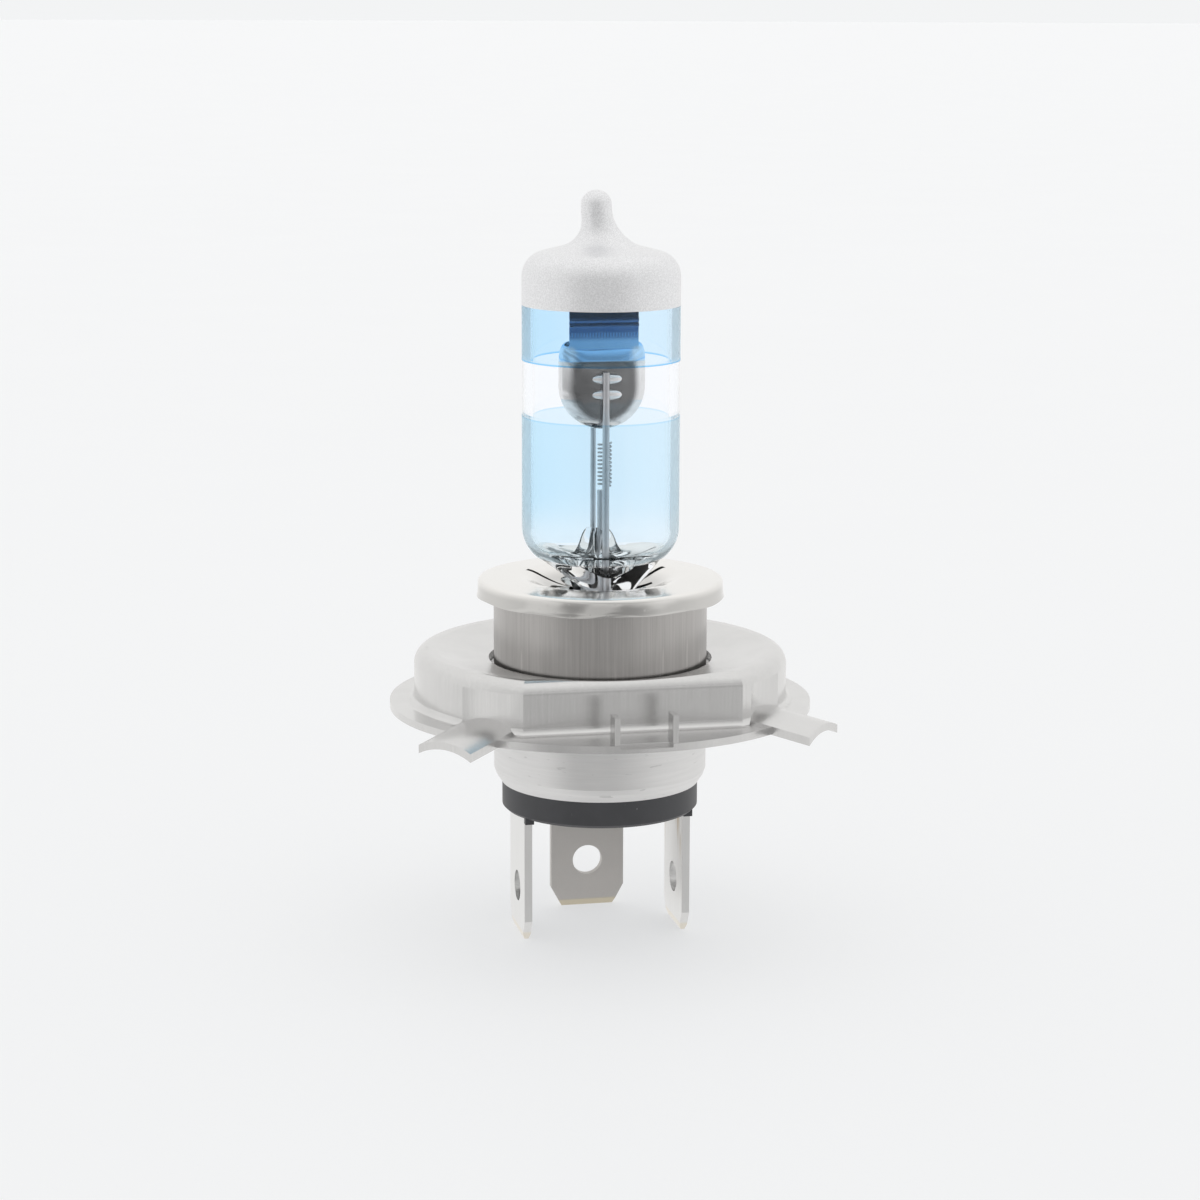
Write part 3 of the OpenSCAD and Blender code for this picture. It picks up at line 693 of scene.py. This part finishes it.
def piece_from(bm, name, node, slot, sharp=38, fix_normals=True):
    """Makes a finished piece that stands for a CAD node."""
    if fix_normals:
        bmesh.ops.recalc_face_normals(bm, faces=bm.faces)
    for face in bm.faces:
        face.smooth = True
    for edge in bm.edges:
        edge.smooth = len(edge.link_faces) == 2 and edge.calc_face_angle(0) < math.radians(sharp)
    mesh = bpy.data.meshes.new(name)
    bm.to_mesh(mesh)
    bm.free()
    piece = bpy.data.objects.new(name, mesh)
    bpy.context.scene.collection.objects.link(piece)
    mesh.materials.append(finish_for(slot))
    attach(piece, BODY)
    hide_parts(node)


# ---------------------------------------------------------------- glass and its coats


def shoulder_level():
    """Height of the centre of the shoulder's round."""
    return TIP_Z - sizes().tip_ball - SHOULDER_DROP


def glass_outline(inset):
    """(radius, height) points of the glass from the top of the tube to the tip."""
    s = sizes()
    shoulder = Vector((FILM_R - s.shoulder_round, shoulder_level()))
    curve = Vector((TIP_CURVE_X, shoulder.y + TIP_CURVE_RISE))
    span = (curve - shoulder).length
    slope = math.degrees(math.atan2(curve.y - shoulder.y, curve.x - shoulder.x))
    slope -= math.degrees(math.acos((s.shoulder_round + s.tip_fillet) / span))
    points = arc(shoulder, s.shoulder_round - inset, 0, slope, 16)
    points += arc(curve, s.tip_fillet + inset, slope + 180, 178, 16)
    points += arc((0, TIP_Z - s.tip_ball), s.tip_ball - inset, 12, 90, 14)
    return points


def neck_arc(inset, start, steps):
    """The round between neck and tube, from start degrees up to the tube's wall."""
    return arc((FILM_R - NECK_ROUND, NECK_Z), NECK_ROUND - inset, start, 0, steps)


def wall_points(radius, low, high, steps):
    """Points up a straight wall, with both ends."""
    return [Vector((radius, low + (high - low) * i / steps)) for i in range(steps + 1)]


def leaned(bm):
    """Leans what is above the shoulder to the left, as the melted tip does."""
    s = sizes()
    foot = TIP_Z - LEAN_DEPTH
    for vert in bm.verts:
        rise = ease((vert.co.z - foot) / (TIP_Z - s.tip_ball - foot))
        vert.co.x -= s.tip_lean * rise
        vert.co.y -= 0.1 * s.tip_lean * rise


def glass_rings(inset):
    """Rings of the tube from the seal to the tip, as functions for skin()."""
    neck = neck_arc(inset, -58, 9)
    rise = neck[0].y - SEAL_TOP_Z
    boxy, steps = 7, 7
    rings = []

    def lofted(z, x, y, square):
        rings.append(lambda turn: Vector((*rounded(turn, x, y, square), z)))

    lofted(PINCH_Z, SEAL_X, SEAL_Y, boxy)
    lofted(SEAL_TOP_Z, SEAL_X, SEAL_Y, boxy)
    for i in range(1, steps):
        share = i / steps
        x = SEAL_X + (neck[0].x - SEAL_X) * share ** 1.05
        y = SEAL_Y + (neck[0].x - SEAL_Y) * ease(share)
        lofted(SEAL_TOP_Z + rise * share, x, y, boxy - 5 * share ** 0.55)
    for point in neck:
        lofted(point.y, point.x, point.x, 2)
    for point in glass_outline(inset):
        radius = max(point.x, 0.0)
        lofted(point.y, radius, radius, 2)
    return rings


# Rings of the hollow, in mm: their distances from the axis along its folded floor, and the radii
# and depths under the tip of those that close its top.
FLOOR_REACHES = (0.2, 0.5, 0.8, 1.05, 1.3, 1.55, 1.8, 2.1, 2.5, 3.0, 3.5, 4.0, 4.5, 4.9)
HOLLOW_TOP = ((3.2, 6.1), (1.4, 5.3), (0.5, 4.2), (0.05, 3.6))


def hollow_floor(reach, turn):
    """A point of the hollow's floor: a valley along Y, with clear lobes round the wires."""
    s = sizes()
    a = FULL_TURN * turn
    valley = 0.5 * math.hypot(reach * math.cos(a), 0.5 * MM) * ease((6.4 * MM - reach) / (1.2 * MM))
    rise = 1.7 * MM * ease((reach - 3.6 * MM) / (2.6 * MM))
    lobe = 0.55 + 0.45 * math.cos(s.folds * a + 0.8)
    lobes = s.fold_height * lobe * math.exp(-((reach / (2.1 * MM)) ** 4))
    drift = -0.6 * MM * math.exp(-reach / (2.6 * MM))
    height = HOLLOW_FLOOR_Z + max(valley, rise) + lobes
    return Vector((reach * math.cos(a) + drift, reach * math.sin(a), height))


def hollow_rings():
    """Rings of the space in the glass, from its folded floor to the drop under the tip."""
    radius = FILM_R - sizes().glass_wall
    side_round, top_round = 2.2 * MM, 2.0 * MM
    side_z = HOLLOW_FLOOR_Z + 2.3 * MM + side_round
    rings = [lambda turn, r=reach * MM: hollow_floor(r, turn) for reach in FLOOR_REACHES]
    points = arc((radius - side_round, side_z), side_round, -62, 0, 7)
    points += arc((radius - top_round, TIP_Z - 8.6 * MM), top_round, 0, 72, 8)
    points += [Vector((across * MM, TIP_Z - depth * MM)) for across, depth in HOLLOW_TOP]
    rings += [lambda turn, p=point: Vector((*rounded(turn, p.x, p.x), p.y)) for point in points]
    return rings


class BULB_OT_glass(bpy.types.Operator):
    """Model the blown quartz envelope with its hollow and its flat seal"""

    bl_idname = "bulb.glass"
    bl_label = "Glass"

    def execute(self, context):
        s = sizes()
        steps = s.round_steps
        bm = bmesh.new()
        inset = s.coat + s.coat_gap
        skin(bm, glass_rings(inset), steps)
        bmesh.ops.recalc_face_normals(bm, faces=bm.faces)
        hollow = skin(bm, hollow_rings(), steps)
        bmesh.ops.recalc_face_normals(bm, faces=hollow)
        bmesh.ops.reverse_faces(bm, faces=hollow)
        leaned(bm)
        bmesh.ops.remove_doubles(bm, verts=bm.verts, dist=0.0005 * MM)
        piece_from(bm, "quartz_envelope", "glass_bulb", "quartz_glass", 60, fix_normals=False)
        return {"FINISHED"}


def coat_shell(name, node, slot, outer, inner):
    """A closed coat between two outlines that run the same way."""
    bm = bmesh.new()
    spun(bm, outer + inner[::-1], sizes().round_steps, closed=outer[-1][0] > 0)
    leaned(bm)
    piece_from(bm, name, node, slot, 60)


class BULB_OT_coats(bpy.types.Operator):
    """Model the silver paint on the tip and the two blue films"""

    bl_idname = "bulb.coats"
    bl_label = "Coats"

    def execute(self, context):
        s = sizes()
        silver, upper, lower = [], [], []
        for inset in (0.0, s.coat):
            radius = FILM_R - inset
            side = wall_points(radius, SILVER_Z, shoulder_level(), 4)[:-1]
            silver.append(side + glass_outline(inset))
            silver[-1][-1].x = 0.0
            upper.append(wall_points(radius, UPPER_Z, SILVER_Z - s.coat_gap, 6))
            lower.append(neck_arc(inset, -50, 8) + wall_points(radius, NECK_Z, LOWER_Z, 8)[1:])
        coat_shell("silver_paint_cap", "silver_cap_coating", "silver_paint", *silver)
        coat_shell("upper_film", "upper_blue_coating", "upper_blue_film", *upper)
        coat_shell("lower_film", "lower_blue_coating", "lower_blue_film", *lower)
        return {"FINISHED"}


# ---------------------------------------------------------------- retainer cap


def cap_profile():
    """(radius, height) points of the cap's outer face, from the petals to the skirt."""
    s = sizes()
    reach_in, edge_round, edge_inset, flare = 3.2 * MM, 0.45 * MM, 0.12 * MM, 0.1 * MM
    steps = 12
    points = []
    for i in range(steps + 1):
        radius = reach_in + (s.petal_r - reach_in) * i / steps
        drop = s.petal_drop * ease(1 - i / steps) ** 0.8
        points.append(Vector((radius, CAP_TOP_Z - drop)))
    for i, radius in enumerate((8.8, 9.5, 10.2, 10.9)):
        points.append(Vector((radius * MM, CAP_TOP_Z - 0.02 * MM * i)))
    edge = (CAP_R - edge_inset - edge_round, CAP_TOP_Z - 0.1 * MM - edge_round)
    points += arc(edge, edge_round, 88, 4, 9)
    points.append(Vector((CAP_R - flare, CAP_BOTTOM_Z + 0.55 * MM)))
    points.append(Vector((CAP_R, CAP_BOTTOM_Z)))
    return points


# Angle from +X in degrees, outer radius and half width in mm of each slit between the petals.
SLITS = ((145, 8.0, 0.26), (219, 8.46, 0.26), (309.5, 8.07, 0.26), (25, 8.2, 0.26),
         (284, 6.6, 0.32), (244, 5.9, 0.28), (180, 5.6, 0.3), (0, 5.4, 0.3), (90, 6.4, 0.3))


def split_faces(bm, faces, point, normal):
    """Splits faces along a plane."""
    edges = {edge for face in faces for edge in face.edges}
    verts = {vert for face in faces for vert in face.verts}
    bmesh.ops.bisect_plane(
        bm, geom=[*faces, *edges, *verts], dist=0.001 * MM, plane_co=point, plane_no=normal
    )


def cut_slit(bm, angle, outer_r, half_width):
    """Cuts a straight slit from the middle out to a radius."""
    along = Vector((math.cos(math.radians(angle)), math.sin(math.radians(angle)), 0))
    across = Vector((-along.y, along.x, 0))
    near_half, near_reach, near_end = 2.5 * MM, 14 * MM, outer_r + 1.2 * MM

    def near(face):
        centre = face.calc_center_median()
        beside = centre.dot(along) > 0 and abs(centre.dot(across)) < near_half
        return beside and centre.length < near_reach and centre.xy.length < near_end

    cuts = [(across * half_width, across), (across * -half_width, across), (along * outer_r, along)]
    for point, normal in cuts:
        split_faces(bm, [face for face in bm.faces if near(face)], point, normal)
    gone = []
    for face in bm.faces:
        centre = face.calc_center_median()
        if 0 < centre.dot(along) < outer_r and abs(centre.dot(across)) < half_width:
            gone.append(face)
    bmesh.ops.delete(bm, geom=gone, context="FACES")


class BULB_OT_cap(bpy.types.Operator):
    """Model the polished retainer cap with its slits and bent petals"""

    bl_idname = "bulb.cap"
    bl_label = "Retainer cap"

    def execute(self, context):
        s = sizes()
        bm = bmesh.new()
        spun(bm, cap_profile(), 2 * s.round_steps, closed=False)
        for angle, outer_r, half_width in SLITS:
            cut_slit(bm, angle, outer_r * MM, half_width * MM)
        self.open_middle(bm)
        bmesh.ops.remove_doubles(bm, verts=bm.verts, dist=0.002 * MM)
        bmesh.ops.recalc_face_normals(bm, faces=bm.faces)
        if sum(f.normal.z * f.calc_area() for f in bm.faces) < 0:
            bmesh.ops.reverse_faces(bm, faces=bm.faces)
        self.make_uneven(bm)
        bmesh.ops.solidify(bm, geom=bm.faces[:], thickness=s.cap_sheet)
        piece_from(bm, "petal_cap", "retainer_cap", "polished_nickel", 42)
        return {"FINISHED"}

    def open_middle(self, bm):
        """Opens the cap round the seal."""
        for side in (Vector((1, 0, 0)), Vector((-1, 0, 0)), Vector((0, 1, 0)), Vector((0, -1, 0))):
            faces = [face for face in bm.faces if face.calc_center_median().xy.length < 8 * MM]
            split_faces(bm, faces, side * (SEAL_HOLE_X if side.x else SEAL_HOLE_Y), side)
        seal = []
        for face in bm.faces:
            centre = face.calc_center_median()
            if abs(centre.x) < SEAL_HOLE_X and abs(centre.y) < SEAL_HOLE_Y:
                seal.append(face)
        bmesh.ops.delete(bm, geom=seal, context="FACES")

    def make_uneven(self, bm):
        """Bends the petals by different amounts and waves the lower edge of the skirt."""
        petal_wave, skirt_wave = 0.22 * MM, 0.10 * MM
        for vert in bm.verts:
            turn = math.atan2(vert.co.y, vert.co.x)
            inner = ease((7.0 * MM - vert.co.xy.length) / (3.4 * MM))
            vert.co.z += petal_wave * inner * math.sin(5 * turn + 0.6)
            if vert.co.z < CAP_TOP_Z - 1.6 * MM and vert.co.xy.length > 12 * MM:
                vert.co.z += skirt_wave * (1 + math.sin(7 * turn) * math.sin(3 * turn + 1))


# ---------------------------------------------------------------- shield


# How far in and how deep the wall of the tub is, from its rim to its floor, as shares.
TUB_WALL = (
    (0, 0), (0, 0.3), (0.04, 0.46), (0.14, 0.58), (0.5, 0.78), (0.86, 0.96), (0.95, 0.99), (1, 1)
)

# The tub's floor: half its width, its lower and its upper end, in metres.
TUB_FLOOR_HALF, TUB_FLOOR_LOW, TUB_FLOOR_HIGH = 2.5 * MM, 29.3 * MM, 34.6 * MM

# The ribs, in metres: heights of their middles, their place across and their half sizes across
# and up.
RIB_LEVELS = (31.35 * MM, 32.95 * MM)
RIB_X, RIB_HALF, RIB_HALF_UP = 0.25 * MM, 1.6 * MM, 0.6 * MM

# The tab, in metres: half its width, how far it is from the rim towards the tub's floor, and the
# heights, half width and relief of its raised lines.
TAB_HALF, TAB_DEPTH = 3.5 * MM, 0.9 * MM
RIDGE_LEVELS, RIDGE_HALF, RIDGE_HEIGHT = (38.3 * MM, 38.85 * MM), 0.14 * MM, 0.12 * MM


def tub_ring(half_width, bottom, top, corner, y):
    """An outline with a round bottom and two round top corners, at depth y."""

    def point(turn):
        a = FULL_TURN * turn
        c, s_ = math.cos(a), math.sin(a)
        if s_ < 0:
            return Vector((half_width * c, y, bottom + half_width + half_width * s_))
        square = 2 + 6 * (1 - corner)
        x, z = rounded(turn, half_width, top - bottom - half_width, square)
        return Vector((x, y, bottom + half_width + z))

    return point


class BULB_OT_shield(bpy.types.Operator):
    """Model the pressed shield under the low-beam filament, with its ribs and its tab"""

    bl_idname = "bulb.shield"
    bl_label = "Shield"

    def execute(self, context):
        s = sizes()
        bm = bmesh.new()
        lo, hi = SHIELD_LO, SHIELD_HI
        depth = hi.y - lo.y - RIB_LIFT
        sides = 72
        sheet = s.shield_sheet

        def wall(inset):
            rings = []
            for slide, sink in TUB_WALL:
                width = hi.x - inset - (hi.x - TUB_FLOOR_HALF) * slide
                low = lo.z + inset + (TUB_FLOOR_LOW - lo.z) * slide
                high = TUB_TOP - inset - (TUB_TOP - TUB_FLOOR_HIGH) * slide
                y = hi.y - (depth - inset) * sink
                rings.append(tub_ring(width, low, high, 0.2 + 0.3 * slide, y))
            return rings

        outer, inner = wall(0.0), wall(sheet)
        skin(bm, inner[::-1] + outer, sides)
        lids = [face for face in bm.faces if len(face.verts) == sides]
        rim = [face for face in lids if abs(face.calc_center_median().y - hi.y) < sheet]
        bmesh.ops.delete(bm, geom=rim, context="FACES_ONLY")
        rib_depth = RIB_LIFT + 0.1 * MM
        for level in RIB_LEVELS:
            rib = bmesh.ops.create_uvsphere(bm, u_segments=24, v_segments=12, radius=1)["verts"]
            shape = Matrix.Diagonal((RIB_HALF, rib_depth, RIB_HALF_UP, 1))
            place = Matrix.Translation((RIB_X, lo.y + rib_depth, level))
            bmesh.ops.transform(bm, matrix=place @ shape, verts=rib)
        self.add_tab(bm, sheet)
        piece_from(bm, "pressed_shield", "low_beam_shield", "shield_metal", 50)
        return {"FINISHED"}

    def add_tab(self, bm, sheet):
        """The flat tab above the tub, with two raised lines across it."""
        profile = [(TAB_DEPTH, TUB_TOP - 0.9 * MM), (TAB_DEPTH, TUB_TOP + 1.2 * MM)]
        for ridge in RIDGE_LEVELS:
            profile.append((TAB_DEPTH, ridge - RIDGE_HALF))
            profile.append((TAB_DEPTH + RIDGE_HEIGHT, ridge))
            profile.append((TAB_DEPTH, ridge + RIDGE_HALF))
        profile += [(TAB_DEPTH, SHIELD_HI.z - 1.0 * MM), (TAB_DEPTH, SHIELD_HI.z)]
        verts = [bm.verts.new((-TAB_HALF, SHIELD_HI.y - depth, level)) for depth, level in profile]
        edges = [bm.edges.new(pair) for pair in zip(verts, verts[1:])]
        new = bmesh.ops.extrude_edge_only(bm, edges=edges)["geom"]
        far_side = [g for g in new if isinstance(g, bmesh.types.BMVert)]
        bmesh.ops.translate(bm, vec=(2 * TAB_HALF, 0, 0), verts=far_side)
        faces = [g for g in new if isinstance(g, bmesh.types.BMFace)]
        bmesh.ops.solidify(bm, geom=faces, thickness=-sheet)


# ---------------------------------------------------------------- filaments


# Name, CAD node and axis of each coil, in metres.
COILS = (
    ("high_beam_coil", "high_beam_filament", 0.4 * MM, 0.0),
    ("low_beam_coil", "low_beam_filament", 0.1 * MM, 0.75 * MM),
)


def coil_path(x, y, foot, pitch, legs):
    """A coil on an upright axis, with a straight leg at each end."""
    s = sizes()
    radius = s.coil_r - s.coil_wire_r
    steps = 20
    total = s.coil_turns * steps
    points = []
    for i in range(total + 1):
        a = FULL_TURN * i / steps
        height = foot + pitch * i / steps
        points.append(Vector((x + radius * math.cos(a), y + radius * math.sin(a), height)))
    return [Vector(legs[0])] + points + [Vector(legs[1])]


class BULB_OT_filaments(bpy.types.Operator):
    """Model both coiled filaments"""

    bl_idname = "bulb.filaments"
    bl_label = "Filaments"

    def execute(self, context):
        s = sizes()
        coil_gap, leg_gap = 0.25 * MM, 0.12 * MM
        for name, node, x, y in COILS:
            lo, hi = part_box(node)
            foot, top = lo.z + coil_gap, hi.z - coil_gap
            pitch = (top - foot) / s.coil_turns
            start_x = x + s.coil_r - s.coil_wire_r
            legs = ((start_x - 0.75 * MM, y + 0.1 * MM, lo.z + leg_gap),
                    (start_x - 0.6 * MM, lo.y + 0.3 * MM, hi.z - leg_gap))
            bm = bmesh.new()
            swept(bm, coil_path(x, y, foot, pitch, legs), s.coil_wire_r, 8)
            piece_from(bm, name, node, "tungsten_wire", 60)
        return {"FINISHED"}


# ---------------------------------------------------------------- frame finishes


class BULB_OT_frame(bpy.types.Operator):
    """Give every CAD piece the finish of its material slot"""

    bl_idname = "bulb.frame"
    bl_label = "Frame finishes"

    def execute(self, context):
        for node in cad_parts.values():
            slot = node.data.materials[0].name.split(".")[0]
            node.data.materials[0] = finish_for(slot)
        return {"FINISHED"}


# ---------------------------------------------------------------- stage


class BULB_OT_stage(bpy.types.Operator):
    """Make the pale floor, the soft studio light and the camera"""

    bl_idname = "bulb.stage"
    bl_label = "Stage"

    def execute(self, context):
        scene = context.scene
        scene.view_settings.view_transform = "Standard"
        self.ground(scene)
        self.light(scene)
        self.camera(scene)
        return {"FINISHED"}

    def ground(self, scene):
        """A wide round floor that glows a little, as the top of a light table does."""
        floor_r = 9.0
        bm = bmesh.new()
        bmesh.ops.create_circle(bm, cap_ends=True, segments=96, radius=floor_r)
        bmesh.ops.translate(bm, vec=(0, 0, FLOOR_Z), verts=bm.verts)
        mesh = bpy.data.meshes.new("floor")
        bm.to_mesh(mesh)
        bm.free()
        floor = bpy.data.objects.new("floor", mesh)
        scene.collection.objects.link(floor)
        material, g = new_material("pale_floor")
        haze = g.noise(28, 4.0, 0.6)
        specks = g.noise(900, 2.0, 0.5)
        base = tint("ground")
        shade = g.mix(haze * 0.5 + specks * 0.1, scaled(base, 0.97), scaled(base, 1.03))
        # Painted light: the floor glows brighter where it is seen through the glass.
        through = g.node("ShaderNodeLightPath", output="Is Transmission Ray")
        glow = g.mix(through, tint("glow"), tint("glow_behind_glass"))
        sheet = g.principled(
            base_color=shade, roughness=0.55 + 0.2 * haze, ior=1.15,
            emission_color=glow, emission_strength=1.0,
        )
        mirrored = self.in_a_mirror(g)
        clear = g.node("ShaderNodeBsdfTransparent")
        g.output(g.node("ShaderNodeMixShader", {}, {0: mirrored, 1: sheet, 2: clear}))
        mesh.materials.append(material)

    def in_a_mirror(self, g):
        """1 for what metal mirrors, 0 for what is seen straight on or inside the glass wall."""
        bounces = g.node("ShaderNodeLightPath", output="Glossy Depth")
        passes = g.node("ShaderNodeLightPath", output="Transmission Depth")
        return (bounces > 0.5) * (1 - (passes > 0.5) * (passes < 3.5))

    def light(self, scene):
        """A pale room that is darker in front, where the lens looks out of the tent."""
        scene.world = bpy.data.worlds.new("studio")
        scene.world.use_nodes = True
        g = Graph(scene.world.node_tree)
        front = Vector((-0.21, -0.97, -0.12)).normalized()
        way = g.node("ShaderNodeTexCoord", output="Generated")
        facing = g.node(
            "ShaderNodeVectorMath", {"operation": "DOT_PRODUCT"}, {0: way, 1: tuple(front)}, "Value"
        )
        up = g.node("ShaderNodeSeparateXYZ", {}, {0: way}, "Z")
        levels = g.node("ShaderNodeTexNoise", {}, {
            "Vector": g.node("ShaderNodeMapping", {}, {"Vector": way, "Scale": (0.7, 0.7, 5.0)}),
            "Scale": 1.6, "Detail": 1.5,
        })
        panels = g.band(levels, 0.42, 0.58)
        mouth = g.band(facing, 0.45, 0.93) * (0.20 + 0.18 * panels)
        dark = mouth + 0.06 * g.band(facing, 0.95, 0.99)
        seams = 0.16 * panels * g.band(facing, -0.5, 0.5)
        tent = 0.96 - dark + 0.08 * g.band(up, 0.2, 0.9) - seams
        room = g.node("ShaderNodeBackground", {}, {"Color": (1.0, 0.995, 0.985, 1), "Strength": tent})
        pale = g.node("ShaderNodeBackground", {}, {"Color": (0.895, 0.905, 0.91, 1), "Strength": 1.0})
        seen = g.node("ShaderNodeLightPath", output="Is Camera Ray")
        through = g.node("ShaderNodeLightPath", output="Is Transmission Ray")
        share = seen.maths("MAXIMUM", seen, through * (1 - self.in_a_mirror(g)))
        view = g.node("ShaderNodeMixShader", {}, {0: share, 1: room, 2: pale})
        g.output(view, "ShaderNodeOutputWorld")

    def camera(self, scene):
        """A long lens in front, a little to the left and above, that looks slightly down."""
        azimuth, tilt, roll, pan = (math.radians(angle) for angle in (12.3, 11.191, 0.184, 0.042))
        reach, height = 309.45 * MM, 71.27 * MM
        data = bpy.data.cameras.new("camera")
        data.lens = 92.83
        data.sensor_width = 36
        data.clip_start, data.clip_end = 0.01, 50
        camera = bpy.data.objects.new("camera", data)
        camera.location = (-reach * math.sin(azimuth), -reach * math.cos(azimuth), height)
        camera.rotation_euler = (math.radians(90) - tilt, -roll, pan - azimuth)
        scene.collection.objects.link(camera)
        scene.camera = camera


class BULB_PT_panel(bpy.types.Panel):
    """The builder's sidebar"""

    bl_idname = "BULB_PT_panel"
    bl_label = "Headlight bulb"
    bl_space_type = "VIEW_3D"
    bl_region_type = "UI"
    bl_category = "Bulb"

    def draw(self, context):
        for operator in OPERATORS:
            self.layout.operator(operator.bl_idname)
        for group in (context.scene.bulb_sizes, context.scene.bulb_colours):
            for name in group.__annotations__:
                self.layout.prop(group, name)


OPERATORS = (
    BULB_OT_glass, BULB_OT_coats, BULB_OT_cap, BULB_OT_shield, BULB_OT_filaments, BULB_OT_frame,
    BULB_OT_stage,
)
CLASSES = (BulbSizes, BulbColours, *OPERATORS, BULB_PT_panel)


def register():
    for cls in CLASSES:
        bpy.utils.register_class(cls)
    bpy.types.Scene.bulb_sizes = bpy.props.PointerProperty(type=BulbSizes)
    bpy.types.Scene.bulb_colours = bpy.props.PointerProperty(type=BulbColours)


def unregister():
    del bpy.types.Scene.bulb_colours
    del bpy.types.Scene.bulb_sizes
    for cls in reversed(CLASSES):
        bpy.utils.unregister_class(cls)


def main():
    register()
    bpy.ops.bulb.glass()
    bpy.ops.bulb.coats()
    bpy.ops.bulb.cap()
    bpy.ops.bulb.shield()
    bpy.ops.bulb.filaments()
    bpy.ops.bulb.frame()
    bpy.ops.bulb.stage()


if __name__ == "__main__":
    main()
